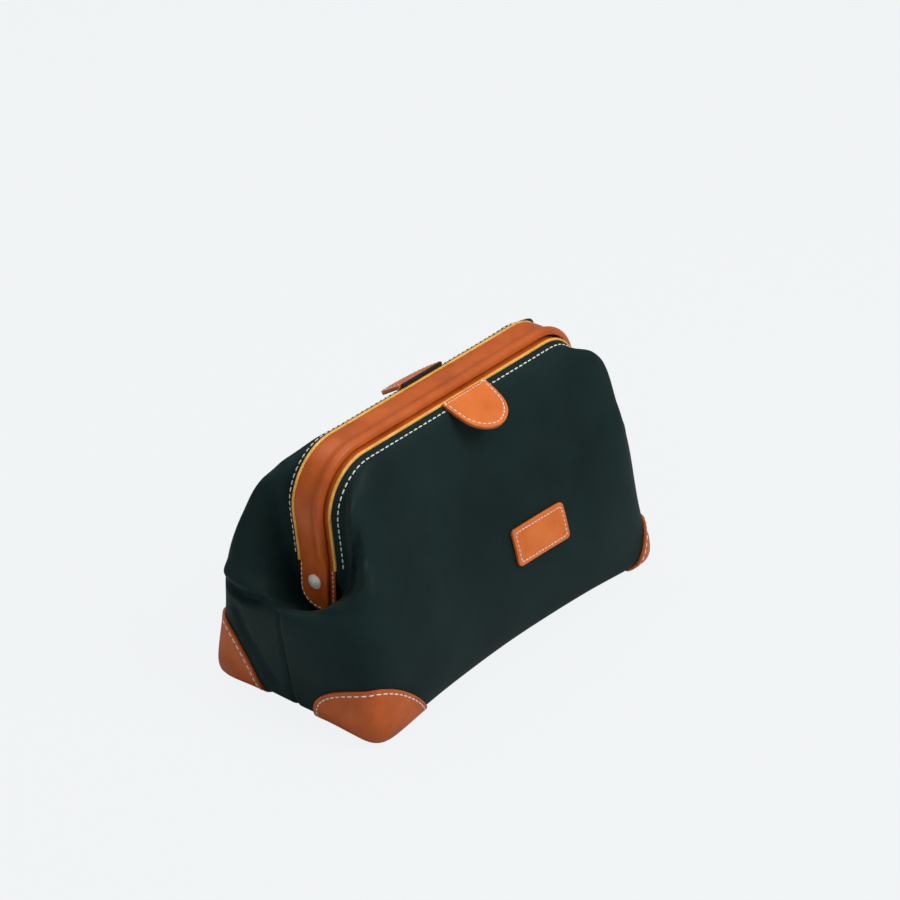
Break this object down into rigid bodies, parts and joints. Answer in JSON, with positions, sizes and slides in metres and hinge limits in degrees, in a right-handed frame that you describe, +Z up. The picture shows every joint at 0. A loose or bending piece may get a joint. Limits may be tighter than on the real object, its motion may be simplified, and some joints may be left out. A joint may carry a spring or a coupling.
{
  "type": "toiletry bag",
  "caption": "Frame-mouth toiletry bag of dark coated cloth with a leather-wrapped hinged frame, pull tabs, leather corners and a bare name patch.",
  "frame": {"origin": "middle of the base, on the surface that the bag stands on", "axes": "+X along the bag's length to the viewer's right from the front, -Y towards the front with the name patch, +Z up through the frame mouth"},
  "size_m": [0.3026, 0.1346, 0.1699],
  "materials": {
    "cloth": "smooth dark green-black coated cloth with a soft sheen",
    "lining_cloth": "thin black woven lining",
    "hem_cloth": "folded hem of the dark cloth, stitched in white",
    "webbing": "black ribbed webbing",
    "frame_leather": "tan leather with a satin polish and darker edges",
    "trim_leather": "tan leather, stitched in white",
    "corner_leather": "brown-tan leather, stitched in white",
    "backing_leather": "dark flesh side of the tab leather",
    "edge_leather": "yellow-ochre raw leather edge",
    "frame_steel": "black lacquered spring steel, hidden in the leather",
    "rivet_nickel": "domed pale nickel cap",
    "board": "stiff base board"
  },
  "bodies": {
    "bag_body": {"front_panel": "cloth", "rear_panel": "cloth", "front_upper_panel": "cloth", "rear_upper_panel": "cloth", "base_panel": "cloth", "left_gusset": "cloth", "right_gusset": "cloth", "lining": "lining_cloth", "front_lining_upper": "lining_cloth", "rear_lining_upper": "lining_cloth", "base_board": "board", "front_left_corner_patch": "corner_leather", "front_right_corner_patch": "corner_leather", "rear_left_corner_patch": "corner_leather", "rear_right_corner_patch": "corner_leather", "name_patch": "trim_leather"},
    "rear_frame": {"rear_frame_band": "frame_leather", "rear_frame_bar": "frame_steel", "rear_edge_strip": "edge_leather", "rear_hem_strip": "hem_cloth", "rear_tab_root": "webbing", "left_rivet": "rivet_nickel", "right_rivet": "rivet_nickel"},
    "front_frame": {"front_frame_cover": "frame_leather", "front_frame_bar": "frame_steel", "front_edge_strip": "edge_leather", "front_hem_strip": "hem_cloth", "front_tab_root": "trim_leather"},
    "front_tab": {"front_pull_tab": "trim_leather", "front_tab_backing": "backing_leather"},
    "rear_tab": {"rear_pull_tab": "trim_leather", "rear_tab_backing": "backing_leather"}
  },
  "joints": [
    {"name": "front_frame_hinge", "type": "hinge", "parent": "bag_body", "child": "front_frame", "pos_m": [0, 0, 0.083], "axis": [1, 0, 0], "range_deg": [0, 50], "deforming": ["front_upper_panel", "front_lining_upper", "left_gusset", "right_gusset"]},
    {"name": "rear_frame_hinge", "type": "hinge", "parent": "bag_body", "child": "rear_frame", "pos_m": [0, 0, 0.083], "axis": [-1, 0, 0], "range_deg": [0, 50], "deforming": ["rear_upper_panel", "rear_lining_upper", "left_gusset", "right_gusset"]},
    {"name": "front_tab_flex", "type": "hinge", "parent": "front_frame", "child": "front_tab", "pos_m": [0.005, -0.01679, 0.16421], "axis": [-1, 0, 0], "range_deg": [0, 75], "stiffness_Nm_per_rad": 0.01},
    {"name": "rear_tab_flex", "type": "hinge", "parent": "rear_frame", "child": "rear_tab", "pos_m": [0, 0.01645, 0.1688], "axis": [1, 0, 0], "range_deg": [0, 75], "stiffness_Nm_per_rad": 0.01}
  ]
}
